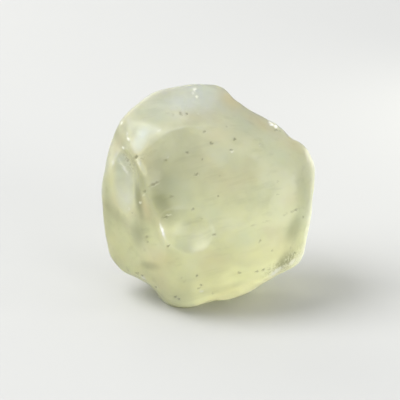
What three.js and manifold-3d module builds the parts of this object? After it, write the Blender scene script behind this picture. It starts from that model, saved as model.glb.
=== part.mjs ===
// A nodule of Libyan desert glass: one wind-worn lump of pale yellow silica glass, standing on a flat spot.
// Lengths are in millimetres and angles in degrees. +Z is up. The broad face looks along -Y and leans back.
//
// The lump is worked out as a distance from its centre along each direction. It starts as a thick lens
// whose rim follows a drawn outline. Flat cuts and round hollows are then taken off it, each with its own
// worn edge, and gentle waves are worn all over.
// The face frame is the one that the outline is drawn in: u to the right, v up and w out of the broad face.

import * as THREE from "three";
import { mergeVertices } from "three/addons/utils/BufferGeometryUtils.js";
import Module from "manifold-3d";

// How far the broad face leans back from upright.
const FACE_LEAN = 20;

// The lens: how far it bulges to the front and back, and the power that makes it squarer than an ellipse.
const FRONT_DEPTH = 20.5;
const BACK_DEPTH = 19;
const SQUARENESS = 2.6;

// How far the flat spot lies below the centre.
const FOOT_DROP = 24.7;

// How many parts each edge of the starting ball is split into, less one.
const MESH_DETAIL = 20;

// The rim as the broad face shows it, [u, v], anticlockwise from the right.
const OUTLINE = [
  [25.5, 2.0], [25.6, 5.4], [25.1, 8.4], [24.0, 11.0], [22.2, 12.8], [19.8, 14.2], [17.6, 16.2],
  [14.3, 18.3], [10.2, 20.6], [6.7, 23.0], [3.8, 25.8], [-1.1, 26.7], [-6.3, 26.4], [-12.9, 24.6],
  [-17.3, 21.6], [-21.0, 17.4], [-23.5, 11.6], [-24.8, 5.4], [-25.2, -1.9], [-24.6, -8.9], [-23.2, -14.8],
  [-21.2, -17.4], [-17.3, -19.6], [-13.6, -21.8], [-10.8, -25.4], [-8.5, -26.9], [-6.0, -27.1],
  [1.1, -25.3], [5.9, -24.4], [9.1, -23.3], [15.8, -19.2], [21.3, -16.4], [22.8, -13.6], [23.9, -8.9],
  [24.8, -2.5],
];

// Each cut takes material off around a point [u, v] of the front, side 1, or of the back, side -1.
// turn and lift aim its normal, in degrees to the right and up from straight out of that side. depth is how
// far it bites there, and edge is how widely its rim is worn round. A flat has no bow. A hollow is part of
// an egg whose radii across, along and deep are bow, and spin turns its long way clockwise from upright.
// A floor cuts a hollow off level, with its own aim and depth, and valley is the width over which it curves
// up into the wall.
const CUTS = [
  { name: "broad face", side: 1, at: [4, 0], turn: 5, lift: -2, depth: 3.8, edge: 3 },
  { name: "left side", side: 1, at: [-18, -2], turn: -50, lift: -15, depth: 3, edge: 1.4 },
  { name: "upper left side", side: 1, at: [-20, 10], turn: -60, lift: 6, depth: 1.1, edge: 1 },
  { name: "top", side: 1, at: [-6, 20], turn: -6, lift: 44, depth: 3.7, edge: 1.4 },
  { name: "flake", side: 1, at: [-15.5, 14], turn: -14, lift: 20, depth: 2, edge: 1.2 },
  {
    name: "thumb hollow", side: 1, at: [1.5, 5], turn: 0, lift: 0, depth: 7.6, edge: 2.4,
    bow: [28, 22, 22], floor: { turn: -5, lift: -6, depth: 4.8, valley: 3 },
  },
  {
    name: "lower dish", side: 1, at: [-4.4, -8], turn: -4, lift: 8, depth: 4.1, edge: 1.8,
    bow: [9.5, 9.5, 9.5],
  },
  {
    name: "lower groove", side: 1, at: [-14.5, -9.5], turn: -36, lift: -12, depth: 3.2, edge: 1.6,
    bow: [5, 12, 6], spin: -6,
  },
  {
    name: "left oval", side: 1, at: [-20.5, 1], turn: -66, lift: 8, depth: 4.2, edge: 0.9,
    bow: [8, 12, 9],
  },
  { name: "upper right", side: 1, at: [13, 17], turn: 28, lift: 46, depth: 1.5, edge: 3 },
  { name: "underside", side: 1, at: [6, -21], turn: 14, lift: -52, depth: 1.2, edge: 1.4 },
  { name: "right shoulder", side: 1, at: [18, 3], turn: 36, lift: 4, depth: 0.8, edge: 7 },
  { name: "lower right corner", side: 1, at: [18.5, -12.5], turn: 46, lift: -22, depth: 1.6, edge: 2 },
  { name: "back face", side: -1, at: [4, 2], turn: 10, lift: 8, depth: 2, edge: 3 },
  { name: "back top", side: -1, at: [3, 18], turn: 6, lift: 46, depth: 2.4, edge: 2 },
  { name: "back left", side: -1, at: [-16, -6], turn: -42, lift: -10, depth: 2.2, edge: 2.4 },
  {
    name: "back dish", side: -1, at: [9, -7], turn: 24, lift: -14, depth: 2.4, edge: 1.2,
    bow: [16, 16, 16],
  },
  {
    name: "back flake", side: -1, at: [-8, 9], turn: -18, lift: 16, depth: 2.2, edge: 1,
    bow: [12, 12, 12],
  },
];

// Gentle waves worn all over. Each is shorter than the one before by shrink, and as steep, and starts later
// by shift, a share of its length.
const WAVES = { count: 9, longest: 17, shrink: 0.8, steepness: 0.006, shift: 0.27 };

// The rim's sway out of its plane: the share of its radius for a wave once round and a wave twice round.
const SWAY = { once: 0.1, onceAt: 60, twice: 0.07, twiceAt: 80 };

// Farther than any part of the lump, for a ray that misses a cut.
const FAR = 1000;

const radians = THREE.MathUtils.degToRad;

// The outline as bearing and radius, in order of bearing.
const RIM = OUTLINE.map(([u, v]) => ({
  bearing: (Math.atan2(v, u) + 2 * Math.PI) % (2 * Math.PI),
  radius: Math.hypot(u, v),
}));

// The rim's radius at a bearing: a cubic through the outline's points, with its slope at each point taken
// from the points on either side.
function rimRadius(bearing) {
  const count = RIM.length;
  const turn = 2 * Math.PI;
  const knot = (i) => {
    const wrapped = RIM[((i % count) + count) % count];
    return { bearing: wrapped.bearing + turn * Math.floor(i / count), radius: wrapped.radius };
  };
  const slope = (i) =>
    (knot(i + 1).radius - knot(i - 1).radius) / (knot(i + 1).bearing - knot(i - 1).bearing);
  const angle = bearing < RIM[0].bearing ? bearing + turn : bearing;
  let start = 0;
  while (start < count - 1 && knot(start + 1).bearing <= angle) start += 1;
  const a = knot(start);
  const b = knot(start + 1);
  const span = b.bearing - a.bearing;
  const t = (angle - a.bearing) / span;
  const ease = t * t * (3 - 2 * t);
  return (
    a.radius * (1 - ease) +
    b.radius * ease +
    span * (slope(start) * t * (1 - t) ** 2 - slope(start + 1) * t * t * (1 - t))
  );
}

// How far forward of the face frame's own plane the rim lies, as a share of its radius: a wave once round
// and a wave twice round, so that it isn't flat.
function rimSway(bearing) {
  const once = SWAY.once * Math.cos(bearing - radians(SWAY.onceAt));
  return once + SWAY.twice * Math.cos(2 * bearing + radians(SWAY.twiceAt));
}

// The lens: distance from the centre along a unit direction of the face frame.
function lensDistance(direction) {
  const bearing = (Math.atan2(direction.y, direction.x) + 2 * Math.PI) % (2 * Math.PI);
  const across = Math.hypot(direction.x, direction.y);
  const out = direction.z - across * rimSway(bearing);
  const depth = out > 0 ? FRONT_DEPTH : BACK_DEPTH;
  const sum = (across / rimRadius(bearing)) ** SQUARENESS + (Math.abs(out) / depth) ** SQUARENESS;
  return sum ** (-1 / SQUARENESS);
}

// The point of the lens that the broad face, or the back, shows at [u, v].
function lensPoint([u, v], side) {
  let low = 0;
  let high = side * 2 * BACK_DEPTH;
  for (let step = 0; step < 40; step += 1) {
    const middle = (low + high) / 2;
    const point = new THREE.Vector3(u, v, middle);
    if (point.length() < lensDistance(point.clone().normalize())) low = middle;
    else high = middle;
  }
  return new THREE.Vector3(u, v, low);
}

// The normal that turn and lift aim, out of the given side.
function aim(side, turn, lift) {
  const level = Math.cos(radians(lift));
  const sideways = Math.sin(radians(turn)) * level;
  const outward = side * Math.cos(radians(turn)) * level;
  return new THREE.Vector3(sideways, Math.sin(radians(lift)), outward);
}

// A plane by its normal and its distance from the centre.
const plane = (point, normal) => ({ normal, reach: point.dot(normal) });

// Each cut as planes and an egg: its axes across, along and out, each divided by that radius, and its
// centre.
const cutters = CUTS.map(({ side, at, turn, lift, depth, edge, bow, spin = 0, floor }) => {
  const top = lensPoint(at, side);
  const out = aim(side, turn, lift);
  if (!bow) return { edge, flat: plane(top.clone().addScaledVector(out, -depth), out) };
  const right = aim(side, turn + 90, 0);
  const up = aim(side, turn, lift + 90);
  const cosine = Math.cos(radians(spin));
  const sine = Math.sin(radians(spin));
  const across = right.clone().multiplyScalar(cosine).addScaledVector(up, -sine);
  const along = up.clone().multiplyScalar(cosine).addScaledVector(right, sine);
  const axes = [across, along, out].map((axis, i) => axis.clone().divideScalar(bow[i]));
  const middle = top.clone().addScaledVector(out, bow[2] - depth);
  const centre = new THREE.Vector3(...axes.map((axis) => axis.dot(middle)));
  if (!floor) return { edge, axes, centre };
  const level = aim(side, floor.turn, floor.lift);
  const bottom = plane(top.clone().addScaledVector(level, -floor.depth), level);
  return { edge, axes, centre, bottom, valley: floor.valley };
});

// Where a ray from the centre meets a plane.
function flatDistance({ normal, reach }, direction) {
  const facing = direction.dot(normal);
  return facing > 0 ? reach / facing : FAR;
}

// The lesser of two distances, with the ridge where they meet worn round over a width.
function wornLesser(a, b, width) {
  const near = Math.max(width - Math.abs(a - b), 0) / width;
  return Math.min(a, b) - (near * near * width) / 4;
}

// Where a ray from the centre meets a cut: a flat, or the near side of a hollow's egg and its floor.
function cutDistance(cutter, direction) {
  if (cutter.flat) return flatDistance(cutter.flat, direction);
  const ray = new THREE.Vector3(...cutter.axes.map((axis) => axis.dot(direction)));
  const along = ray.dot(cutter.centre);
  const inside = along ** 2 - ray.lengthSq() * (cutter.centre.lengthSq() - 1);
  if (along <= 0 || inside <= 0) return FAR;
  const wall = (along - Math.sqrt(inside)) / ray.lengthSq();
  if (!cutter.bottom) return wall;
  return -wornLesser(-wall, -flatDistance(cutter.bottom, direction), cutter.valley);
}

// The waves' directions, turned by the golden angle round a ball.
const waves = Array.from({ length: WAVES.count }, (_, i) => {
  const height = 1 - (2 * (i + 0.5)) / WAVES.count;
  const across = Math.sqrt(1 - height ** 2);
  const turn = i * Math.PI * (3 - Math.sqrt(5));
  const length = WAVES.longest * WAVES.shrink ** i;
  const heading = new THREE.Vector3(across * Math.cos(turn), across * Math.sin(turn), height);
  return {
    heading: heading.divideScalar(length),
    start: WAVES.shift * i,
    size: WAVES.steepness * length,
  };
});

// How far the waves move a point of the surface out.
function undulation(point) {
  const wave = ({ heading, start, size }) => size * Math.sin(2 * Math.PI * (point.dot(heading) + start));
  return waves.reduce((sum, each) => sum + wave(each), 0);
}

// The point of the finished surface along a unit direction of the face frame.
function surfacePoint(direction) {
  const distance = cutters.reduce(
    (least, cutter) => wornLesser(least, cutDistance(cutter, direction), cutter.edge),
    lensDistance(direction),
  );
  const point = direction.clone().multiplyScalar(distance);
  return point.addScaledVector(direction, undulation(point));
}

// A ball of even triangles with each corner moved to the lump's surface, stood up in the part's frame.
function lumpGeometry() {
  const ball = new THREE.IcosahedronGeometry(1, MESH_DETAIL);
  ball.deleteAttribute("normal");
  ball.deleteAttribute("uv");
  const lump = mergeVertices(ball);
  const corners = lump.getAttribute("position");
  const direction = new THREE.Vector3();
  for (let i = 0; i < corners.count; i += 1) {
    const point = surfacePoint(direction.fromBufferAttribute(corners, i).normalize());
    corners.setXYZ(i, point.x, point.y, point.z);
  }
  return lump.rotateX(radians(90 - FACE_LEAN));
}

// The joining and cutting of solids.
const wasm = await Module();
wasm.setup();

// A solid from a geometry's closed triangles.
function solidFrom(geometry) {
  return new wasm.Manifold(
    new wasm.Mesh({
      numProp: 3,
      vertProperties: geometry.getAttribute("position").array,
      triVerts: new Uint32Array(geometry.index.array),
    }),
  );
}

// A geometry from a solid's triangles.
function geometryFrom(solid) {
  const mesh = solid.getMesh();
  return new THREE.BufferGeometry()
    .setAttribute("position", new THREE.BufferAttribute(mesh.vertProperties, 3))
    .setIndex(new THREE.BufferAttribute(mesh.triVerts, 1));
}

// A slab whose top is the plane of the flat spot, to cut the lump's underside off level.
function floorSlab() {
  const size = 4 * BACK_DEPTH;
  const slab = new THREE.BoxGeometry(size, size, size).translate(0, 0, -FOOT_DROP - size / 2);
  slab.deleteAttribute("normal");
  slab.deleteAttribute("uv");
  return mergeVertices(slab);
}

// Moves a geometry so that the middle of its box's underside is the origin.
function standAtOrigin(geometry) {
  geometry.computeBoundingBox();
  const middle = geometry.boundingBox.getCenter(new THREE.Vector3());
  return geometry.translate(-middle.x, -middle.y, -geometry.boundingBox.min.z);
}

const glass = new THREE.MeshStandardMaterial({ color: 0xc6c8a0, roughness: 0.45, metalness: 0 });
const nodule = new THREE.Mesh(
  standAtOrigin(geometryFrom(solidFrom(lumpGeometry()).subtract(solidFrom(floorSlab())))),
  glass,
);
nodule.name = "glass_nodule";

const part = new THREE.Group();
part.add(nodule);

export default part;
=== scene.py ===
"""Looks of a nodule of Libyan desert glass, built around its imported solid.

The nodule is one lump of pale yellow natural glass. Its surface is worked out as a distance from the centre
along each direction: a thick lens whose rim follows a drawn outline, less flat cuts and round hollows, with
fine relief. The face frame is the one in which the outline is drawn: u right, v up and w out of the face.
"""

import logging
import math
from dataclasses import dataclass, field
from enum import Enum

import bpy
import numpy as np
from mathutils import Matrix, Vector

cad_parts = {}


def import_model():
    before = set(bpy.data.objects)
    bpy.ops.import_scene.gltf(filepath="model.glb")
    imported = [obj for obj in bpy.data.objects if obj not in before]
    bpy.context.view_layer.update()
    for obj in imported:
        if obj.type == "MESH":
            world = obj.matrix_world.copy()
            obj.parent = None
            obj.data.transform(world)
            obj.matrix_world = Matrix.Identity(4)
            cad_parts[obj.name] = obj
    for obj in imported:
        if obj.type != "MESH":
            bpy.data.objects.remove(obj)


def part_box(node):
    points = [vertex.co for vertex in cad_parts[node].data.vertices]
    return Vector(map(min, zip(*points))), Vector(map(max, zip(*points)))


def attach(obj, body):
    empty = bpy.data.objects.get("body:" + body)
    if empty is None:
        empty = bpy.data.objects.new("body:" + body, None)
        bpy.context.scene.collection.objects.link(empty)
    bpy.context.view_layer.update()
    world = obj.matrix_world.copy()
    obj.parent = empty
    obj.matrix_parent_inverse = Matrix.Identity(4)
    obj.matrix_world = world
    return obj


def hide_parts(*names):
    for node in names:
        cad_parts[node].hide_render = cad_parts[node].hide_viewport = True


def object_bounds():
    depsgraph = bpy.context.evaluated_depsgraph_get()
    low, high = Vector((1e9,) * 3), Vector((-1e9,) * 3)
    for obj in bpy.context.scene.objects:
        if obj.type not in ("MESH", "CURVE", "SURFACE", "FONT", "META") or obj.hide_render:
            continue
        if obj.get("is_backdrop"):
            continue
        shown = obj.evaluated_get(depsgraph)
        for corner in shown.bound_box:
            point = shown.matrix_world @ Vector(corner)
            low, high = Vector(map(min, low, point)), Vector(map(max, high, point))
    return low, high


MILLIMETRE = 0.001
NODE = "glass_nodule"

# The photograph's side in pixels, the millimetres to a pixel, and the pixel that shows the lump's centre.
PHOTO_SIDE = 400
PHOTO_SCALE = 0.24
PHOTO_CENTRE = (208.0, 197.0)

# Farther than any part of the lump, for a ray that misses a cut.
FAR = 1000.0

# Keeps a height from being nought where it is divided by.
TINY = 1e-9

# How often the search for a point of the lens halves its interval.
HALVINGS = 40

# The decimal places to which two directions agree where they are welded.
WELD_PLACES = 6

log = logging.getLogger("nodule")


class Side(Enum):
    """Which side of the lump a cut is made on."""

    FRONT = 1
    BACK = -1


@dataclass(frozen=True)
class Cut:
    """Material taken off around a point of the front or back: a flat, or a hollow where bow gives its radii.

    turn and lift aim the normal, in degrees to the right and up. The lengths are in millimetres: depth is the
    bite at the point, edge is the width over which the rim is worn round, and bow holds the hollow's radii
    across, along and deep. spin turns the long way of the hollow clockwise from upright, in degrees. A hollow
    may have a level floor: its turn and lift, how deep it lies below the point, and the width over which it
    curves up into the wall.
    """

    name: str
    side: Side
    at: tuple[float, float]
    turn: float
    lift: float
    depth: float
    edge: float
    bow: tuple[float, float, float] | None = None
    spin: float = 0.0
    floor: tuple[float, float, float, float] | None = None

    def out(self, turn: float, lift: float) -> np.ndarray:
        """The normal that turn and lift aim, in the face frame."""
        turn, lift = math.radians(turn), math.radians(lift)
        forward = self.side.value * math.cos(turn) * math.cos(lift)
        return np.array([math.sin(turn) * math.cos(lift), math.sin(lift), forward])

    def axes(self) -> np.ndarray:
        """The hollow's own axes in the face frame: the normal's slopes by turn and by lift, then spun.

        Returns:
            Unit vectors across, along and out of the cut, one to a row.
        """
        spin = math.radians(self.spin)
        right = self.out(self.turn + 90, 0)
        up = self.out(self.turn, self.lift + 90)
        across = right * math.cos(spin) - up * math.sin(spin)
        along = up * math.cos(spin) + right * math.sin(spin)
        return np.stack([across, along, self.out(self.turn, self.lift)])


OUTLINE = (
    (25.5, 2.0), (25.6, 5.4), (25.1, 8.4), (24.0, 11.0), (22.2, 12.8), (19.8, 14.2), (17.6, 16.2),
    (14.3, 18.3), (10.2, 20.6), (6.7, 23.0), (3.8, 25.8), (-1.1, 26.7), (-6.3, 26.4), (-12.9, 24.6),
    (-17.3, 21.6), (-21.0, 17.4), (-23.5, 11.6), (-24.8, 5.4), (-25.2, -1.9), (-24.6, -8.9),
    (-23.2, -14.8), (-21.2, -17.4), (-17.3, -19.6), (-13.6, -21.8), (-10.8, -25.4), (-8.5, -26.9),
    (-6.0, -27.1), (1.1, -25.3), (5.9, -24.4), (9.1, -23.3), (15.8, -19.2), (21.3, -16.4), (22.8, -13.6),
    (23.9, -8.9), (24.8, -2.5),
)

CUTS = (
    Cut("broad face", Side.FRONT, (4.0, 0.0), 5, -2, 3.8, 3.0),
    Cut("left side", Side.FRONT, (-18.0, -2.0), -50, -15, 3.0, 1.4),
    Cut("upper left side", Side.FRONT, (-20.0, 10.0), -60, 6, 1.1, 1.0),
    Cut("top", Side.FRONT, (-6.0, 20.0), -6, 44, 3.7, 1.4),
    Cut("flake", Side.FRONT, (-15.5, 14.0), -14, 20, 2.0, 0.6),
    Cut("thumb hollow", Side.FRONT, (1.5, 5.0), 0, 0, 7.6, 2.4, bow=(28, 22, 22), floor=(-5, -6, 4.8, 3.0)),
    Cut("lower dish", Side.FRONT, (-4.4, -8.0), -4, 8, 4.1, 0.7, bow=(9.5, 9.5, 9.5)),
    Cut("lower groove", Side.FRONT, (-14.5, -9.5), -36, -12, 3.2, 1.6, bow=(5, 12, 6), spin=-6),
    Cut("left oval", Side.FRONT, (-20.5, 1.0), -66, 8, 4.2, 0.5, bow=(8, 12, 9)),
    Cut("upper right", Side.FRONT, (13.0, 17.0), 28, 46, 1.5, 3.0),
    Cut("underside", Side.FRONT, (6.0, -21.0), 14, -52, 1.2, 1.4),
    Cut("right shoulder", Side.FRONT, (18.0, 3.0), 36, 4, 0.6, 8.0),
    Cut("lower right corner", Side.FRONT, (18.5, -12.5), 46, -22, 1.6, 2.0),
    Cut("back face", Side.BACK, (4.0, 2.0), 10, 8, 2.0, 3.0),
    Cut("back top", Side.BACK, (3.0, 18.0), 6, 46, 2.4, 2.0),
    Cut("back left", Side.BACK, (-16.0, -6.0), -42, -10, 2.2, 2.4),
    Cut("back dish", Side.BACK, (9.0, -7.0), 24, -14, 2.4, 1.2, bow=(16, 16, 16)),
    Cut("back flake", Side.BACK, (-8.0, 9.0), -18, 16, 2.2, 1.0, bow=(12, 12, 12)),
)


@dataclass(frozen=True)
class Patch:
    """A soft-edged oval drawn on the broad face: its middle [u, v], half its length and width, and its turn.

    Lengths are in millimetres, and turn is in degrees anticlockwise from level. strength is what it is worth
    in its middle, in the terms of the list that it stands in, and crisp is how hard its edge is, 1 for soft.
    """

    at: tuple[float, float]
    length: float = 0.45
    width: float = 0.28
    turn: float = 10.0
    strength: float = 1.0
    crisp: float = 1.0

    def share(self, points: np.ndarray) -> np.ndarray:
        """How much of the patch each point has: e to the minus squared distance, in half sizes, to crisp.

        Args:
            points: Points of the face frame, one to a row.

        Returns:
            The strength at each point, 0 on the back.
        """
        turn = math.radians(self.turn)
        u, v = points[:, 0] - self.at[0], points[:, 1] - self.at[1]
        along = u * math.cos(turn) + v * math.sin(turn)
        across = v * math.cos(turn) - u * math.sin(turn)
        share = np.exp(-(((along / self.length) ** 2 + (across / self.width) ** 2) ** self.crisp))
        return np.where(points[:, 2] > 0, self.strength * share, 0)


PITS = (
    Patch((-4.8, 10.2), 0.51, 0.24, -30), Patch((-9.8, 8.3), 0.46, 0.24, 20), Patch((-1.3, 8.6), 0.28),
    Patch((0.9, 12.3), 0.41, 0.24, -20), Patch((6.2, 13.2), 0.37), Patch((5.3, 10.7), 0.55, 0.26, 10),
    Patch((9.0, 9.3), 0.37, 0.2, 20, 0.6), Patch((-2.6, 5.1), 0.74, 0.22, 5),
    Patch((2.9, 4.8), 0.46, 0.2, 5, 0.5), Patch((2.4, -0.1), 0.32, 0.24),
    Patch((-8.5, -0.1), 0.64, 0.32, 20, 0.6), Patch((-12.4, 2.9), 1.3, 0.26, 30, 1.3),
    Patch((-14.7, 1.1), 0.37), Patch((-3.5, -3.1), 0.46, 0.24, 20, 0.6), Patch((-9.9, -4.9), 0.74, 0.24, 5),
    Patch((-1.3, -5.3), 0.46, 0.24, 10, 0.5), Patch((1.4, -8.9), 0.55, 0.24, 15),
    Patch((-9.2, -11.6), 0.41, 0.28), Patch((-2.6, -18.5), 0.32, 0.2, 60),
    Patch((-1.5, -20.8), 0.46, 0.22, -40), Patch((-2.0, -21.6), 0.46, 0.22, 40),
    Patch((-12.3, -21.6), 0.28, 0.32), Patch((-7.6, -23.7), 0.41, 0.22, 40),
    Patch((-6.8, -24.3), 0.46, 0.22, -40), Patch((7.3, -17.9), 0.41, 0.22, -25),
    Patch((11.4, -17.6), 0.46, 0.24, 25), Patch((12.9, -17.2), 0.46, 0.22, 30),
    Patch((12.1, -10.4), 0.55, 0.24, 60, 0.8), Patch((22.4, -4.9), 0.32, 0.32),
    Patch((20.3, -3.3), 1.1, 0.28, 24, 0.9), Patch((18.0, -4.3), 0.7, 0.26, 24, 0.7),
    Patch((13.4, -5.9), 1.4, 0.24, 18, 0.4), Patch((10.4, -6.8), 0.9, 0.24, 14, 0.45),
    Patch((20.2, -13.4), 0.46, 0.28), Patch((17.8, -15.9), 0.55, 0.24, 30),
    Patch((19.3, -12.0), 0.46, 0.24, 60, 0.7), Patch((16.3, 0.4), 0.28, 0.24, 0, 0.6),
    Patch((16.2, 3.4), 0.28, 0.24, 0, 0.5), Patch((12.1, 12.2), 0.64, 0.32, 80, 0.4),
    Patch((4.4, 16.1), 0.32, 0.24, 0, 0.7), Patch((-0.8, 15.0), 0.37, 0.24),
    Patch((-6.3, 19.4), 0.41, 0.24, 0, 0.9), Patch((-4.9, 19.2), 0.32, 0.24, 0, 0.9),
    Patch((-16.6, 9.0), 0.51, 0.32, 30, 1.2), Patch((-14.3, -9.5), 0.37, 0.24, -20, 0.7),
    Patch((-14.0, -10.7), 0.46, 0.24, -30, 0.7), Patch((-16.8, -18.3), 0.46, 0.22, -15),
    Patch((-15.4, -18.8), 0.37, 0.2, 20), Patch((-5.4, -20.0), 0.37, 0.24, 70, 0.6),
    Patch((1.2, -22.9), 0.32, 0.24, 0, 0.7), Patch((-3.4, -2.8), 0.37, 0.24, 0, 0.4),
    Patch((-17.7, -3.9), 0.37, 0.24, 0, 0.6), Patch((8.4, 6.1), 0.32, 0.2, 0, 0.4),
    Patch((14.9, -12.7), 0.37, 0.2, 30, 0.6), Patch((16.1, 15.7), 0.4, 0.2, 10, 0.8),
    Patch((17.1, 15.4), 0.4, 0.2, -30, 0.7), Patch((-8.1, 18.9), 0.4, 0.2, 20, 0.6),
    Patch((-5.9, 18.9), 0.3, 0.18, 0, 0.7), Patch((-9.4, 19.3), 0.9, 0.22, 0, 0.35),
    Patch((-6.1, -19.0), 0.25, 0.5, 0, 0.35),
)

# Pale frosted chipped spots, together with painted glints: the white sliver at the foot of the ridge and the
# specks along the left ridge stand for light caught on small facets.
CHIPS_AND_GLINTS = (
    Patch((-20.1, 7.4), 1.9, 0.3, -62, 0.7), Patch((-19.2, 6.0), 1.2, 0.25, -60, 0.6),
    Patch((-19.8, 11.3), 0.38, 0.26, -60, 0.9), Patch((-18.4, 13.3), 0.4, 0.28, -70, 1.0),
    Patch((-20.2, 17.2), 0.35, 0.26, 40, 0.9), Patch((-16.0, 7.6), 1.0, 0.3, -66, 0.6),
    Patch((-10.6, -8.0), 1.6, 0.3, -73, 1.0), Patch((-18.9, 14.6), 0.3, 0.24, -70, 0.8),
    Patch((-15.7, -1.5), 0.4, 0.26, -50, 0.7), Patch((-21.6, 8.4), 0.3, 0.24, 0, 0.7),
    Patch((-3.1, 25.3), 0.4, 0.3), Patch((-3.5, 24.3), 0.32, 0.3), Patch((-2.6, 23.4), 0.42, 0.35),
    Patch((-11.2, 15.2), 0.6, 0.28, 35, 0.6), Patch((-9.0, -4.4), 0.8, 0.25, 10, 0.7),
    Patch((-15.2, -19.4), 0.7, 0.3, -30), Patch((16.0, -17.6), 1.8, 0.5, 38),
    Patch((19.9, -15.4), 1.2, 0.5, 45, 0.8), Patch((-1.4, -22.3), 0.5, 0.25, 20),
    Patch((-22.3, 8.0), 0.6, 0.4, -60, 0.7), Patch((-18.4, -3.0), 0.4, 0.3, 50, 0.6),
    Patch((-14.9, 0.2), 0.5, 0.3, 20, 0.6), Patch((5.6, 10.3), 0.4, 0.2, 10, 0.5),
    Patch((-9.3, 9.0), 0.4, 0.2, 20, 0.4), Patch((23.4, 6.0), 0.35, 0.25, 0, 0.6),
    Patch((14.7, 17.6), 0.35, 0.25, 0), Patch((15.4, 17.1), 0.5, 0.3, -40),
    Patch((16.2, 16.5), 0.45, 0.35, 60, 1.3), Patch((15.0, 16.8), 0.3, 0.2, 0),
    Patch((12.1, 11.9), 0.9, 0.12, 88, 0.6), Patch((-6.6, 18.8), 0.3, 0.2, 0, 0.5),
    Patch((-2.2, 19.2), 0.35, 0.25, 0, 0.5), Patch((-9.9, 24.8), 0.3, 0.25, 0, 0.5),
)

# Painted shade and painted sheen, with a little clouding of the glass itself: the dark patches paint shade in
# the thumb hollow beside the ridge, along the left flank and at the lower and right edges, and the pale ones
# paint the reflection of the sky on the top, the flake, the oval and the dish.
CLOUDING_SHADE_SHEEN = (
    Patch((-10.8, -2.4), 4.2, 2.2, -62, -0.5, 1.4), Patch((-11.2, 2.6), 8.0, 3.6, -62, -0.42),
    Patch((-6.5, 6.5), 8.0, 7.0, 0, -0.3), Patch((-15.8, -8.5), 5.0, 1.9, 92, -0.3),
    Patch((18.0, -15.0), 3.0, 1.5, 47, -0.9, 2), Patch((20.2, -7.6), 3.4, 1.7, 68, -0.55, 1.5),
    Patch((19.4, -9.2), 4.0, 1.9, 65, -0.15), Patch((22.2, 2.4), 4.6, 2.0, 90, -0.3),
    Patch((-15.9, 4.8), 5.6, 0.8, -71, -0.35, 1.5), Patch((-16.1, -0.4), 4.2, 1.0, -80, -0.85, 1.5),
    Patch((-24.2, -1.5), 8.0, 1.2, 92, -0.3), Patch((-7.2, 19.5), 2.6, 0.5, -4, -0.3),
    Patch((-13.7, -16.3), 2.4, 1.0, -8, -0.52, 1.6), Patch((-16.6, -9.0), 3.4, 1.7, 96, -0.34, 1.5),
    Patch((2.9, -21.9), 8.0, 0.9, 12, -0.25, 1.5), Patch((-14.6, 15.4), 3.6, 1.3, 0, 0.45, 2),
    Patch((-15.6, 12.6), 2.9, 1.6, 68, 0.8, 2), Patch((-15.2, 6.8), 2.2, 0.6, -65, 0.8, 2),
    Patch((-4.2, -8.2), 5.6, 4.6, 0, 0.15), Patch((-4.0, 22.0), 9.0, 3.2, 4, 0.75),
    Patch((-19.6, 2.7), 6.4, 2.6, 93, 0.55, 3), Patch((-21.5, 6.8), 1.5, 2.4, 0, 0.3),
    Patch((3.5, 9.0), 7.0, 1.6, 30, 0.12), Patch((18.5, 6.5), 4.5, 3.5, 0, -0.13),
    Patch((-2.5, 25.4), 9.0, 1.5, -3, 0.4), Patch((1.5, 11.0), 5.0, 2.6, -50, 0.25),
    Patch((7.0, 14.0), 5.0, 3.0, -50, -0.12), Patch((-21.4, -4.6), 4.5, 1.4, -45, -0.35, 1.3),
    Patch((-20.6, 9.4), 1.6, 1.4, 0, 0.5, 2), Patch((-20.6, 13.0), 3.2, 1.1, -62, -0.45, 1.5),
)

# Painted glow: paler yellow patches where light coming through the glass brightens the lower right, the
# bottom rim and the left edge.
PAINTED_GLOWS = (
    Patch((12.5, -13.6), 6.5, 3.0, 18, 0.75), Patch((-3.0, -21.5), 14.0, 4.0, 6, 0.3),
    Patch((6.0, 22.6), 2.6, 1.6, -40, 0.5), Patch((-21.0, -13.0), 4.0, 4.5, 0, 0.25),
    Patch((-22.6, 6.4), 1.0, 3.0, 0, 0.3), Patch((8.5, -22.8), 13.0, 2.0, 20, 0.9, 2),
)

TAN = (
    Patch((5.6, 22.8), 3.4, 1.9, -40, 0.6), Patch((12.6, 17.2), 4.4, 1.6, -38, 0.45),
    Patch((20.4, 12.6), 3.2, 1.8, -30, 0.4), Patch((-14.4, -2.9), 2.8, 1.0, -72, 0.5),
    Patch((2.0, 14.0), 3.0, 2.0, 0, 0.25), Patch((-11.0, -14.5), 3.0, 2.2, 0, 0.3),
    Patch((-21.0, 12.5), 1.2, 3.0, -20, 0.3),
)

ROUGH = (
    Patch((19.0, -15.4), 3.6, 1.3, 45, 1.3), Patch((15.0, -17.2), 2.2, 1.2, 30, 0.9),
    Patch((-18.4, 8.0), 2.6, 0.8, -65, 0.9), Patch((-15.6, 8.6), 0.9, 0.6, 30, 0.9),
)


def total(patches: tuple[Patch, ...], points: np.ndarray) -> np.ndarray:
    """The sum of what a list's patches are worth at each point."""
    return sum(patch.share(points) for patch in patches)


def sine_sum(points: np.ndarray, lengths: np.ndarray, shift: float) -> np.ndarray:
    """Sines in many directions, which turn by the golden angle from one to the next while they climb a ball.

    Args:
        points: Points, one to a row.
        lengths: The length of each sine's wave.
        shift: How much of a wave each sine starts after the one before.

    Returns:
        A row for each point and a column for each sine.
    """
    index = np.arange(len(lengths))
    height = 1 - 2 * (index + 0.5) / len(lengths)
    turn = index * math.pi * (3 - math.sqrt(5))
    across = np.sqrt(1 - height**2)
    heading = np.stack([across * np.cos(turn), across * np.sin(turn), height]) / lengths
    return np.sin(2 * np.pi * (points @ heading + shift * index))


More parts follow.
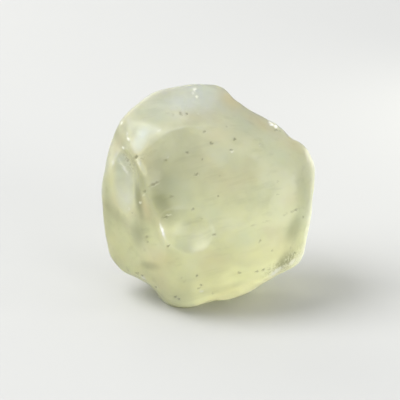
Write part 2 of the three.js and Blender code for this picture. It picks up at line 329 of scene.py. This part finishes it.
@dataclass
class Lump:
    """The whole nodule. Lengths are in millimetres and angles in degrees.

    foot_drop is how far the flat spot lies below the centre. sway_once and sway_twice are each a share of the
    rim's radius and a bearing. The waves shrink from the longest, and each starts a share of a wave later.
    edge_at and edge_half are the middle and half length, as bearings, of the slender right edge that is
    painted with a glow, and edge_width is a share of the radius.
    """

    face_lean: float = 20.0
    front_depth: float = 20.5
    back_depth: float = 19.0
    squareness: float = 2.6
    foot_drop: float = 24.7
    sway_once: tuple[float, float] = (0.1, 60.0)
    sway_twice: tuple[float, float] = (0.07, 80.0)
    waves: int = 9
    longest_wave: float = 17.0
    wave_shrink: float = 0.8
    wave_steepness: float = 0.006
    wave_shift: float = 0.27
    edge_at: float = -25.0
    edge_half: float = 75.0
    edge_width: float = 0.07
    grid_steps: int = 128
    outline: tuple[tuple[float, float], ...] = OUTLINE
    cuts: tuple[Cut, ...] = CUTS
    knots: np.ndarray = field(init=False)

    def __post_init__(self) -> None:
        """Turns the outline into rows of bearing, radius and slope, with one turn more at each end."""
        u, v = np.array(self.outline).T
        bearing = np.arctan2(v, u) % (2 * np.pi)
        radius = np.hypot(u, v)
        turn = 2 * np.pi
        bearing = np.concatenate([bearing - turn, bearing, bearing + turn])
        radius = np.tile(radius, 3)
        slope = np.gradient(radius, bearing)
        slope[1:-1] = (radius[2:] - radius[:-2]) / (bearing[2:] - bearing[:-2])
        self.knots = np.stack([bearing, radius, slope])

    def rim_radius(self, bearing: np.ndarray) -> np.ndarray:
        """The rim's radius: a cubic between the outline's points, sloped by the points on either side.

        Args:
            bearing: Angles from the right, anticlockwise, in radians.

        Returns:
            A radius for each bearing.
        """
        knot, radius, slope = self.knots
        bearing = bearing % (2 * np.pi)
        start = np.searchsorted(knot, bearing, side="right") - 1
        span = knot[start + 1] - knot[start]
        t = (bearing - knot[start]) / span
        ease = t * t * (3 - 2 * t)
        between = radius[start] * (1 - ease) + radius[start + 1] * ease
        return between + span * (slope[start] * t * (1 - t) ** 2 - slope[start + 1] * t * t * (1 - t))

    def rim_sway(self, bearing: np.ndarray) -> np.ndarray:
        """How far forward the rim lies, as a share of its radius: one wave round plus two waves round."""
        once, once_at = self.sway_once
        twice, twice_at = self.sway_twice
        tilt = once * np.cos(bearing - math.radians(once_at))
        return tilt + twice * np.cos(2 * bearing + math.radians(twice_at))

    def lens_distance(self, direction: np.ndarray) -> np.ndarray:
        """The lens: a rounded power sum of the distance across over the rim's radius and out over the depth.

        Args:
            direction: Unit directions of the face frame, one to a row.

        Returns:
            The distance from the centre to the lens along each.
        """
        bearing = np.arctan2(direction[:, 1], direction[:, 0])
        across = np.hypot(direction[:, 0], direction[:, 1])
        out = direction[:, 2] - across * self.rim_sway(bearing)
        depth = np.where(out > 0, self.front_depth, self.back_depth)
        power = self.squareness
        powers = (across / self.rim_radius(bearing)) ** power + (np.abs(out) / depth) ** power
        return powers ** (-1 / power)

    def lens_point(self, at: tuple[float, float], side: Side) -> np.ndarray:
        """The point of the lens that its front or back shows at [u, v], found by halving the interval.

        Args:
            at: The point's place across the face.
            side: The side of the lens.

        Returns:
            The point in the face frame.
        """
        low, high = 0.0, side.value * 2 * self.back_depth
        for _ in range(HALVINGS):
            middle = (low + high) / 2
            point = np.array([[at[0], at[1], middle]])
            length = np.linalg.norm(point)
            inside = length < self.lens_distance(point / length)[0]
            low, high = (middle, high) if inside else (low, middle)
        return np.array([at[0], at[1], low])

    def cut_distance(self, cut: Cut, direction: np.ndarray) -> np.ndarray:
        """Where rays from the centre meet a cut: a flat, or the near side of a hollow's body and its floor.

        Args:
            cut: The cut.
            direction: Unit directions, one to a row.

        Returns:
            The distance along each, FAR where the ray misses.
        """
        axes = cut.axes()
        top = self.lens_point(cut.at, cut.side)
        if cut.bow is None:
            return self.flat_distance(top - axes[2] * cut.depth, axes[2], direction)
        radii = np.array(cut.bow)
        centre = axes @ (top + axes[2] * (cut.bow[2] - cut.depth)) / radii
        ray = direction @ axes.T / radii
        along = ray @ centre
        length = (ray * ray).sum(axis=1)
        inside = along**2 - length * (centre @ centre - 1)
        meets = (along > 0) & (inside > 0)
        distance = np.where(meets, (along - np.sqrt(np.where(meets, inside, 0))) / length, FAR)
        if cut.floor is None:
            return distance
        turn, lift, depth, valley = cut.floor
        normal = cut.out(turn, lift)
        floor = self.flat_distance(top - normal * depth, normal, direction)
        return np.where(meets, -self.worn_lesser(-distance, -floor, valley), FAR)

    def flat_distance(
        self, point: np.ndarray, normal: np.ndarray, direction: np.ndarray
    ) -> np.ndarray:
        """Where rays meet a plane: its reach from the centre over the ray's cosine, or FAR if they miss."""
        facing = direction @ normal
        return np.where(facing > 0, point @ normal / np.where(facing > 0, facing, 1), FAR)

    def worn_lesser(self, a: np.ndarray, b: np.ndarray, width: float) -> np.ndarray:
        """The lesser of two distances, with the ridge where they meet worn round by a parabola."""
        near = np.maximum(width - np.abs(a - b), 0) / width
        return np.minimum(a, b) - near * near * width / 4

    def worn_distance(self, direction: np.ndarray) -> np.ndarray:
        """The least of the lens and its cuts, each ridge between two of them worn round, with the waves.

        Args:
            direction: Unit directions, one to a row.

        Returns:
            The distance from the centre along each.
        """
        least = self.lens_distance(direction)
        for cut in self.cuts:
            least = self.worn_lesser(least, self.cut_distance(cut, direction), cut.edge)
        return least + self.undulation(direction * least[:, None])

    def undulation(self, points: np.ndarray) -> np.ndarray:
        """Gentle waves worn all over, each as high as its length allows.

        Args:
            points: Points of the face frame, one to a row.

        Returns:
            How far each point moves out.
        """
        lengths = self.longest_wave * self.wave_shrink ** np.arange(self.waves)
        return sine_sum(points, lengths, self.wave_shift) @ (self.wave_steepness * lengths)

    def painted_edge_glow(self, points: np.ndarray) -> np.ndarray:
        """The right edge, painted paler as a glow of light coming through where the glass is slender: its
        share rises as a cosine towards the rim.

        Args:
            points: Points of the face frame, one to a row.

        Returns:
            The share at each point, 1 on the rim in the middle of the edge.
        """
        bearing = np.arctan2(points[:, 1], points[:, 0])
        inset = 1 - np.hypot(points[:, 0], points[:, 1]) / self.rim_radius(bearing)
        along = np.abs(bearing - math.radians(self.edge_at)) / math.radians(self.edge_half)
        near = np.clip(inset / self.edge_width, 0, 1)
        return (0.5 + 0.5 * np.cos(np.pi * near)) * (0.5 + 0.5 * np.cos(np.pi * np.clip(along, 0, 1)))

    def stand(self, points: np.ndarray) -> np.ndarray:
        """Turns points of the face frame about u, so that v points up and leans back."""
        turn = np.array(Matrix.Rotation(math.radians(90 - self.face_lean), 3, "X"))
        return points @ turn.T

    def grid(self) -> tuple[np.ndarray, np.ndarray]:
        """Unit directions through an even grid on each face of a cube, welded along its edges.

        The formula: a face's two parameters run from -1 to 1, and each is multiplied by 45 degrees. A point
        has the tangents of both, beside 1 along the face's own axis, and is brought to unit length.

        Returns:
            The directions, and the quads as rows of four indices, facing out.
        """
        steps = self.grid_steps
        line = np.tan(np.linspace(-1, 1, steps + 1) * np.pi / 4)
        a, b = np.meshgrid(line, line, indexing="ij")
        one = np.ones_like(a)
        faces = [(one, a, b), (-one, b, a), (b, one, a), (a, -one, b), (a, b, one), (b, a, -one)]
        points = np.concatenate([np.stack(face, axis=-1).reshape(-1, 3) for face in faces])
        points /= np.linalg.norm(points, axis=1, keepdims=True)
        index = np.arange(6 * (steps + 1) ** 2).reshape(6, steps + 1, steps + 1)
        corners = [index[:, :-1, :-1], index[:, 1:, :-1], index[:, 1:, 1:], index[:, :-1, 1:]]
        quads = np.stack(corners, axis=-1).reshape(-1, 4)
        rounded = np.round(points, WELD_PLACES)
        _, first, back = np.unique(rounded, axis=0, return_index=True, return_inverse=True)
        return points[first], back.reshape(-1)[quads]

    def build(self) -> bpy.types.Object:
        """Makes the lump's mesh, standing on its flat spot, with its box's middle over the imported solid's.

        Returns:
            The finished piece, at the origin.
        """
        direction, quads = self.grid()
        points = direction * self.worn_distance(direction)[:, None]
        marks = Wear().marks(points)
        # The share of the painted glow along the slender right edge, which also frosts it.
        marks["edge"] = self.painted_edge_glow(points)
        marks["frost"] = np.maximum(marks["frost"], marks["edge"])
        points = self.stand(points + direction * marks.pop("height")[:, None])
        # A point below the flat spot is drawn in along its ray until it lies on it.
        below = np.minimum(points[:, 2], -TINY)
        points *= np.minimum(1, -self.foot_drop / below)[:, None]
        low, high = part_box(NODE)
        middle = (np.array(low) + np.array(high)) / 2
        points = points * MILLIMETRE
        shift = middle - (points.min(0) + points.max(0)) / 2
        shift[2] = low.z - points[:, 2].min()
        points += shift
        mesh = bpy.data.meshes.new("nodule")
        mesh.from_pydata(points, [], quads.tolist())
        mesh.shade_smooth()
        for name, values in marks.items():
            mesh.attributes.new(name, "FLOAT", "POINT").data.foreach_set("value", values.astype(np.float32))
        piece = bpy.data.objects.new("nodule", mesh)
        bpy.context.scene.collection.objects.link(piece)
        return piece


@dataclass
class Wear:
    """The fine wear of the skin: pits, chipped spots and clouding, with painted shade, painted sheen, painted
    glints and glow. Lengths are in millimetres.

    ragged is how far the grain breaks up the edges of marks. Two settings give how pale the painted highlight
    beside each pit is and where it lies. Loose pits are strewn where a point lies less than front_from out of
    the face frame.
    """

    pit_depth: float = 0.14
    ragged: float = 0.1
    lip_highlight: float = 0.4
    lip_highlight_shift: tuple[float, float, float] = (0.25, -0.3, 0.0)
    chip_height: float = 0.06
    most_chip_and_glint: float = 1.5
    most_dirt: float = 1.2
    clouding_shade_sheen_frost: float = 0.5
    grain: float = 0.7
    grain_waves: int = 24
    grain_shift: float = 0.37
    loose_pits: int = 260
    loose_size: tuple[float, float] = (0.22, 0.55)
    loose_strength: tuple[float, float] = (0.3, 1.0)
    loose_dirt: float = 0.8
    front_from: float = 3.0
    face_height: float = 54.0
    seed: int = 7

    def marks(self, points: np.ndarray) -> dict[str, np.ndarray]:
        """Works out the wear, with the painted shade, sheen and glow, at each point: the sum of the patches
        of each list, and pits strewn all over.

        Args:
            points: Points of the face frame, one to a row.

        Returns:
            The height of each point over the unworn skin, and its share of each kind of mark.
        """
        rough = self.roughness(points)
        sideways = self.roughness(points[:, [2, 0, 1]])
        ragged = points + self.ragged * np.stack([rough, sideways, np.zeros_like(rough)], axis=-1)
        pits = total(PITS, ragged)
        chips_and_glints = np.minimum(total(CHIPS_AND_GLINTS, ragged), self.most_chip_and_glint)
        clouding_shade_sheen = total(CLOUDING_SHADE_SHEEN, points)
        strewn = self.strewn_pits(ragged)
        # A painted highlight beside each pit, where light would catch its far wall.
        lip_highlights = total(PITS, ragged - np.array(self.lip_highlight_shift)) * (1 - np.minimum(pits, 1))
        return {
            "height": chips_and_glints * rough * self.chip_height - (pits + strewn) * self.pit_depth,
            "dirt": np.minimum(pits + self.loose_dirt * strewn, self.most_dirt),
            # Chipped spots and their painted glints, with the painted highlights beside the pits.
            "chip_and_glint": chips_and_glints + self.lip_highlight * lip_highlights,
            # Painted shade where negative and painted sheen of reflected sky where positive, with a little
            # clouding of the glass.
            "clouding_shade_sheen_mark": clouding_shade_sheen,
            "frost": np.clip(np.maximum(self.clouding_shade_sheen_frost * clouding_shade_sheen, chips_and_glints), 0, 1),
            "rough": np.minimum(total(ROUGH, ragged), 1),
            # How low a point lies, for the paler and yellower bottom: partly the glass's own tint, partly a
            # painted glow.
            "low": 0.5 - points[:, 1] / self.face_height,
            # The painted glow of light coming through the glass.
            "painted_glow": total(PAINTED_GLOWS, points),
            "tan": total(TAN, points),
        }

    def strewn_pits(self, points: np.ndarray) -> np.ndarray:
        """Small round pits off the front, at drawn points: each is e to the minus squared distance.

        Args:
            points: Points of the face frame, one to a row.

        Returns:
            The depth share at each point.
        """
        draw = np.random.default_rng(self.seed)
        middles = points[draw.integers(0, len(points), self.loose_pits)]
        sizes = draw.uniform(*self.loose_size, self.loose_pits)
        strengths = draw.uniform(*self.loose_strength, self.loose_pits)
        hidden = middles[:, 2] < self.front_from
        depth = np.zeros(len(points))
        for middle, size, strength in zip(middles[hidden], sizes[hidden], strengths[hidden]):
            distance = ((points - middle) ** 2).sum(axis=1)
            depth += strength * np.exp(-distance / size**2)
        return depth

    def roughness(self, points: np.ndarray) -> np.ndarray:
        """Sharp grain for the chips: a sum of short sines over the root of half their number."""
        lengths = np.full(self.grain_waves, self.grain)
        return sine_sum(points, lengths, self.grain_shift).sum(axis=1) / math.sqrt(self.grain_waves / 2)


class Graph:
    """A material's node tree, with one method for each kind of node that the glass uses."""

    def __init__(self, name: str) -> None:
        """Starts an empty tree with an output and a Principled BSDF.

        Args:
            name: The material's name.
        """
        self.material = bpy.data.materials.new(name)
        self.material.use_nodes = True
        self.nodes = self.material.node_tree.nodes
        self.links = self.material.node_tree.links
        self.nodes.clear()
        self.out = self.nodes.new("ShaderNodeOutputMaterial")
        self.skin = self.nodes.new("ShaderNodeBsdfPrincipled")
        self.links.new(self.skin.outputs["BSDF"], self.out.inputs["Surface"])
        self.place = self.nodes.new("ShaderNodeTexCoord").outputs["Object"]

    def noise(
        self, size: float, detail: float, place: bpy.types.NodeSocket | None = None
    ) -> bpy.types.NodeSocket:
        """A noise pattern, about 0.5 in the mean.

        Args:
            size: The size of a lump of the pattern, in millimetres.
            detail: How many finer layers it has.
            place: The coordinates, or None for the object's own.

        Returns:
            The pattern.
        """
        node = self.nodes.new("ShaderNodeTexNoise")
        node.inputs["Scale"].default_value = 1 / (size * MILLIMETRE)
        node.inputs["Detail"].default_value = detail
        self.links.new(place or self.place, node.inputs["Vector"])
        return node.outputs["Fac"]

    def drawn_out(self, turn: float, stretch: float) -> bpy.types.NodeSocket:
        """Coordinates that draw a pattern out into streaks.

        Args:
            turn: The streaks' tilt from level as the broad face shows them, in degrees anticlockwise.
            stretch: How many times longer the pattern is along the streaks.

        Returns:
            The coordinates.
        """
        node = self.nodes.new("ShaderNodeMapping")
        node.vector_type = "TEXTURE"
        node.inputs["Rotation"].default_value = (0, -math.radians(turn), 0)
        node.inputs["Scale"].default_value = (stretch, 1, 1)
        self.links.new(self.place, node.inputs["Vector"])
        return node.outputs["Vector"]

    def mark(self, name: str) -> bpy.types.NodeSocket:
        """The mesh's own attribute of that name."""
        node = self.nodes.new("ShaderNodeAttribute")
        node.attribute_name = name
        return node.outputs["Fac"]

    def ramp(
        self, value: bpy.types.NodeSocket, span: tuple[float, float], onto: tuple[float, float]
    ) -> bpy.types.NodeSocket:
        """Maps a value from one span onto another and holds it inside.

        Args:
            value: The value.
            span: The two values that map to the ends of the other span.
            onto: The other span.

        Returns:
            The mapped value.
        """
        node = self.nodes.new("ShaderNodeMapRange")
        names = ("From Min", "From Max", "To Min", "To Max")
        for name, number in zip(names, span + onto):
            node.inputs[name].default_value = number
        self.links.new(value, node.inputs["Value"])
        return node.outputs["Result"]

    def join(
        self, how: str, first: bpy.types.NodeSocket, second: bpy.types.NodeSocket
    ) -> bpy.types.NodeSocket:
        """Joins two values by a sum.

        Args:
            how: The kind of sum, "ADD" or "MULTIPLY".
            first: One value.
            second: The other.

        Returns:
            The result.
        """
        node = self.nodes.new("ShaderNodeMath")
        node.operation = how
        self.links.new(first, node.inputs[0])
        self.links.new(second, node.inputs[1])
        return node.outputs[0]

    def bump(
        self, height: bpy.types.NodeSocket, rise: float, under: bpy.types.NodeSocket | None = None
    ) -> bpy.types.NodeSocket:
        """Relief from a pattern.

        Args:
            height: The pattern, from 0 to 1.
            rise: How high 1 stands over 0, in millimetres.
            under: The relief that this one lies on, or None for the bare surface.

        Returns:
            The normal.
        """
        node = self.nodes.new("ShaderNodeBump")
        node.inputs["Distance"].default_value = rise * MILLIMETRE
        self.links.new(height, node.inputs["Height"])
        if under:
            self.links.new(under, node.inputs["Normal"])
        return node.outputs["Normal"]

    def plain(self, colour: tuple[float, float, float]) -> bpy.types.NodeSocket:
        """One colour all over."""
        node = self.nodes.new("ShaderNodeRGB")
        node.outputs[0].default_value = (*colour, 1)
        return node.outputs[0]

    def over(
        self, share: bpy.types.NodeSocket, under: bpy.types.NodeSocket, colour: tuple[float, float, float]
    ) -> bpy.types.NodeSocket:
        """Lays a colour over another by a share.

        Args:
            share: How much of the upper colour shows.
            under: The lower colour.
            colour: The upper colour.

        Returns:
            The mixed colour.
        """
        node = self.nodes.new("ShaderNodeMix")
        node.data_type = "RGBA"
        lower, upper = (socket for socket in node.inputs if socket.type == "RGBA")
        self.links.new(share, node.inputs["Factor"])
        self.links.new(under, lower)
        upper.default_value = (*colour, 1)
        return next(socket for socket in node.outputs if socket.type == "RGBA")


@dataclass(frozen=True)
class FrostedGlass:
    """Pale yellow natural glass with a wind-frosted skin. Colours are linear, lengths in millimetres.

    A pattern, such as mottle, is given by the size of its lumps and by how many finer layers it has.
    """

    upper: tuple[float, float, float] = (0.68, 0.68, 0.54)
    # Paler and yellower colour of the bottom: partly the glass's own tint, partly a painted glow.
    lower: tuple[float, float, float] = (0.85, 0.87, 0.55)
    shade: tuple[float, float, float] = (0.20, 0.21, 0.11)
    pale: tuple[float, float, float] = (0.90, 0.90, 0.82)
    # Painted sheen: the pale colour of reflected sky.
    milky_sheen: tuple[float, float, float] = (0.59, 0.63, 0.61)
    # Painted glow of light coming through the glass.
    painted_glow: tuple[float, float, float] = (1.0, 0.96, 0.62)
    stain: tuple[float, float, float] = (0.76, 0.62, 0.38)
    warm: tuple[float, float, float] = (0.72, 0.64, 0.44)
    cool: tuple[float, float, float] = (0.60, 0.68, 0.58)
    # Painted glow along the slender right edge.
    edge_glow: tuple[float, float, float] = (0.95, 0.96, 0.72)
    dirt: tuple[float, float, float] = (0.13, 0.12, 0.06)
    roughness: tuple[float, float] = (0.36, 0.52)
    frost_roughness: float = 0.3
    clearness: tuple[float, float] = (0.75, 0.15)
    veil: float = 0.25
    veil_roughness: float = 0.4
    index: float = 1.46
    scatter_depth: float = 9.0
    scatter_tint: tuple[float, float, float] = (1.0, 1.0, 0.6)
    absorbed: tuple[float, float, float] = (0.80, 0.81, 0.50)
    absorption: float = 18.0
    mottle: tuple[float, float] = (7.0, 3.0)
    tint: tuple[float, float] = (10.0, 2.0)
    streak: tuple[float, float] = (1.6, 2.0)
    streak_turn: float = 17.0
    streak_stretch: float = 6.0
    speck: tuple[float, float] = (0.5, 2.0)
    grain: tuple[float, float] = (1.1, 4.0)
    grain_height: float = 0.06
    swell: tuple[float, float] = (4.0, 1.0)
    swell_height: float = 0.3

    def make(self) -> bpy.types.Material:
        """Builds the material's nodes.

        Returns:
            The material.
        """
        graph = Graph("frosted_glass")
        fixed = {
            "IOR": self.index,
            "Coat Weight": self.veil,
            "Coat Roughness": self.veil_roughness,
            "Subsurface Weight": 1.0,
            "Subsurface Radius": self.scatter_tint,
            "Subsurface Scale": self.scatter_depth * MILLIMETRE,
        }
        for name, value in fixed.items():
            graph.skin.inputs[name].default_value = value
        frost = graph.mark("frost")
        polish = graph.ramp(graph.noise(*self.mottle), (0.35, 0.65), self.roughness)
        driven = {
            "Normal": self.relief(graph),
            "Roughness": graph.join("ADD", polish, graph.ramp(frost, (0, 1), (0, self.frost_roughness))),
            "Transmission Weight": graph.ramp(frost, (0, 1), self.clearness),
            "Base Color": self.colour(graph),
        }
        for name, socket in driven.items():
            graph.links.new(socket, graph.skin.inputs[name])
        inside = graph.nodes.new("ShaderNodeVolumeAbsorption")
        inside.inputs["Color"].default_value = (*self.absorbed, 1)
        inside.inputs["Density"].default_value = self.absorption
        graph.links.new(inside.outputs["Volume"], graph.out.inputs["Volume"])
        return graph.material

    def relief(self, graph: Graph) -> bpy.types.NodeSocket:
        """The skin's fine relief: low swells with a grain on them.

        Args:
            graph: The material's nodes.

        Returns:
            The normal.
        """
        swell = graph.bump(graph.noise(*self.swell), self.swell_height)
        return graph.bump(graph.noise(*self.grain), self.grain_height, swell)

    def colour(self, graph: Graph) -> bpy.types.NodeSocket:
        """The skin's colour: paler and yellower downwards, partly its own tint and partly a painted glow,
        mottled and streaked, with painted shade, painted sheen, painted glow, chipped spots with painted
        glints, and dirty pits.

        Args:
            graph: The material's nodes.

        Returns:
            The colour.
        """
        mottle = graph.noise(*self.mottle)
        streak = graph.noise(*self.streak, graph.drawn_out(self.streak_turn, self.streak_stretch))
        speck = graph.noise(*self.speck)
        tint = graph.noise(*self.tint)
        clouding_shade_sheen_mark = graph.mark("clouding_shade_sheen_mark")
        rough = graph.mark("rough")
        sunk = graph.join("MULTIPLY", rough, graph.ramp(speck, (0.40, 0.52), (0.45, 0)))
        raised = graph.join("MULTIPLY", rough, graph.ramp(speck, (0.55, 0.65), (0, 0.6)))
        # From the lowest layer up: how much of it lies over those before it, and its colour.
        layers = (
            # Paler and yellower towards the bottom: partly the glass's own tint, partly a painted glow of
            # light coming through the lower part.
            (graph.ramp(graph.mark("low"), (0.15, 0.95), (0, 1)), self.lower),
            (graph.ramp(mottle, (0.5, 0.75), (0, 0.22)), self.shade),
            (graph.ramp(mottle, (0.5, 0.25), (0, 0.25)), self.pale),
            (graph.ramp(streak, (0.55, 0.8), (0, 0.25)), self.shade),
            (graph.ramp(tint, (0.52, 0.7), (0, 0.45)), self.warm),
            (graph.ramp(tint, (0.48, 0.3), (0, 0.4)), self.cool),
            # Painted shade, with a little dark clouding of the glass itself.
            (graph.ramp(clouding_shade_sheen_mark, (0, -1), (0, 1)), self.shade),
            # Painted sheen of reflected sky on the top, the flake, the oval and the dish.
            (graph.ramp(clouding_shade_sheen_mark, (0, 1), (0, 1)), self.milky_sheen),
            # Painted glow of light coming through the glass.
            (graph.mark("painted_glow"), self.painted_glow),
            (graph.mark("tan"), self.stain),
            # Painted glow along the slender right edge.
            (graph.ramp(graph.mark("edge"), (0, 1), (0, 0.75)), self.edge_glow),
            (sunk, self.dirt),
            (raised, self.pale),
            # Pale chipped spots, with painted glints on the ridges and painted highlights beside the pits.
            (graph.ramp(graph.mark("chip_and_glint"), (0.15, 0.7), (0, 0.95)), self.pale),
            (graph.ramp(graph.mark("dirt"), (0.15, 0.9), (0, 0.8)), self.dirt),
        )
        colour = graph.plain(self.upper)
        for share, upper in layers:
            colour = graph.over(share, colour, upper)
        return colour


@dataclass(frozen=True)
class Lamp:
    """A square area light aimed at the nodule. Lengths are in millimetres, power is in watts."""

    name: str
    place: tuple[float, float, float]
    size: float
    power: float
    tint: tuple[float, float, float]

    def hang(self, target: Vector) -> None:
        """Adds the lamp to the scene.

        Args:
            target: The point that it is aimed at, in metres.
        """
        data = bpy.data.lights.new(self.name, "AREA")
        data.size = self.size * MILLIMETRE
        data.energy = self.power
        data.color = self.tint
        lamp = bpy.data.objects.new(self.name, data)
        bpy.context.scene.collection.objects.link(lamp)
        lamp.location = Vector(self.place) * MILLIMETRE
        lamp.rotation_euler = (target - lamp.location).to_track_quat("-Z", "Y").to_euler()


LAMPS = (
    Lamp("window", (-1110, -165, 1455), 1500, 45.0, (1.0, 1.0, 1.0)),
    Lamp("fill", (720, -960, 345), 500, 5.8, (1.0, 0.98, 0.95)),
    Lamp("glow", (-400, 710, 380), 680, 2.6, (1.0, 0.98, 0.9)),
    Lamp("bounce", (780, -210, 215), 250, 1.8, (1.0, 0.98, 0.9)),
    Lamp("rim", (160, 160, 40), 60, 0.1, (1.0, 0.98, 0.85)),
)


@dataclass(frozen=True)
class Studio:
    """A pale floor that curves up behind, soft lights, and the camera at the photograph's angle."""

    camera_distance: float = 420.0
    sensor: float = 36.0
    floor_radius: float = 1500.0
    bend: float = 300.0
    wall: float = 200.0
    bend_steps: int = 17
    turn_steps: int = 96
    floor_colour: tuple[float, float, float] = (0.46, 0.46, 0.45)
    floor_roughness: float = 0.9
    room_colour: tuple[float, float, float] = (0.85, 0.88, 0.92)
    room_strength: float = 0.7
    lamps: tuple[Lamp, ...] = LAMPS

    def camera(self, lump: Lump, centre: Vector) -> None:
        """Looks along the face frame's w axis at the point that the photograph has in its middle.

        Args:
            lump: The lump, for its lean.
            centre: The lump's centre in the part's frame, in metres.
        """
        middle = PHOTO_SIDE / 2
        u = (middle - PHOTO_CENTRE[0]) * PHOTO_SCALE
        v = (PHOTO_CENTRE[1] - middle) * PHOTO_SCALE
        aim = Vector(lump.stand(np.array([[u, v, 0.0]]))[0]) * MILLIMETRE + centre
        out = Vector(lump.stand(np.array([[0.0, 0.0, 1.0]]))[0])
        data = bpy.data.cameras.new("camera")
        data.sensor_width = self.sensor
        data.lens = self.sensor * self.camera_distance / (PHOTO_SIDE * PHOTO_SCALE)
        camera = bpy.data.objects.new("camera", data)
        bpy.context.scene.collection.objects.link(camera)
        camera.location = aim + out * self.camera_distance * MILLIMETRE
        camera.rotation_euler = (-out).to_track_quat("-Z", "Y").to_euler()
        bpy.context.scene.camera = camera

    def floor(self) -> None:
        """Makes the backdrop: a level disc whose rim bends up a quarter circle into a low wall, all round."""
        bend = np.linspace(0, np.pi / 2, self.bend_steps)
        far = self.floor_radius + self.bend
        radius = np.concatenate([[0.0], self.floor_radius + self.bend * np.sin(bend), [far]])
        height = np.concatenate([[0.0], self.bend * (1 - np.cos(bend)), [self.bend + self.wall]])
        bearing = np.arange(self.turn_steps) * 2 * np.pi / self.turn_steps
        ring = np.stack([np.cos(bearing), np.sin(bearing)], axis=-1)
        across = radius[:, None, None] * ring
        up = np.broadcast_to(height[:, None, None], across.shape[:2] + (1,))
        points = np.concatenate([across, up], axis=-1).reshape(-1, 3)
        rings, spokes = np.meshgrid(np.arange(len(radius) - 1), np.arange(self.turn_steps), indexing="ij")
        inner = rings * self.turn_steps + spokes
        beside = rings * self.turn_steps + (spokes + 1) % self.turn_steps
        corners = [inner, inner + self.turn_steps, beside + self.turn_steps, beside]
        mesh = bpy.data.meshes.new("floor")
        mesh.from_pydata(points * MILLIMETRE, [], np.stack(corners, axis=-1).reshape(-1, 4).tolist())
        mesh.shade_smooth()
        mesh.materials.append(self.paper())
        sheet = bpy.data.objects.new("floor", mesh)
        bpy.context.scene.collection.objects.link(sheet)
        sheet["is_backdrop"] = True

    def paper(self) -> bpy.types.Material:
        """The backdrop's plain pale material."""
        material = bpy.data.materials.new("pale_floor")
        material.use_nodes = True
        skin = material.node_tree.nodes["Principled BSDF"]
        skin.inputs["Base Color"].default_value = (*self.floor_colour, 1)
        skin.inputs["Roughness"].default_value = self.floor_roughness
        return material

    def light(self, centre: Vector) -> None:
        """Hangs the lamps and sets the even light of the room.

        Args:
            centre: The lump's centre in the part's frame, in metres.
        """
        for lamp in self.lamps:
            lamp.hang(centre)
        world = bpy.data.worlds.new("room")
        bpy.context.scene.world = world
        world.use_nodes = True
        sky = world.node_tree.nodes["Background"]
        sky.inputs["Color"].default_value = (*self.room_colour, 1)
        sky.inputs["Strength"].default_value = self.room_strength
        bpy.context.scene.view_settings.view_transform = "Standard"


def main() -> None:
    """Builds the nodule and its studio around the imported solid."""
    logging.basicConfig(level=logging.INFO, format="%(message)s")
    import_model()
    solid_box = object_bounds()
    studio = Studio()
    lump = Lump()
    low, high = solid_box
    centre = Vector(((low.x + high.x) / 2, (low.y + high.y) / 2, lump.foot_drop * MILLIMETRE))
    piece = lump.build()
    piece.data.materials.append(FrostedGlass().make())
    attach(piece, "root")
    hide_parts(NODE)
    log.info("%s: %d faces", piece.name, len(piece.data.polygons))
    studio.camera(lump, centre)
    studio.floor()
    studio.light(centre)


if __name__ == "__main__":
    main()
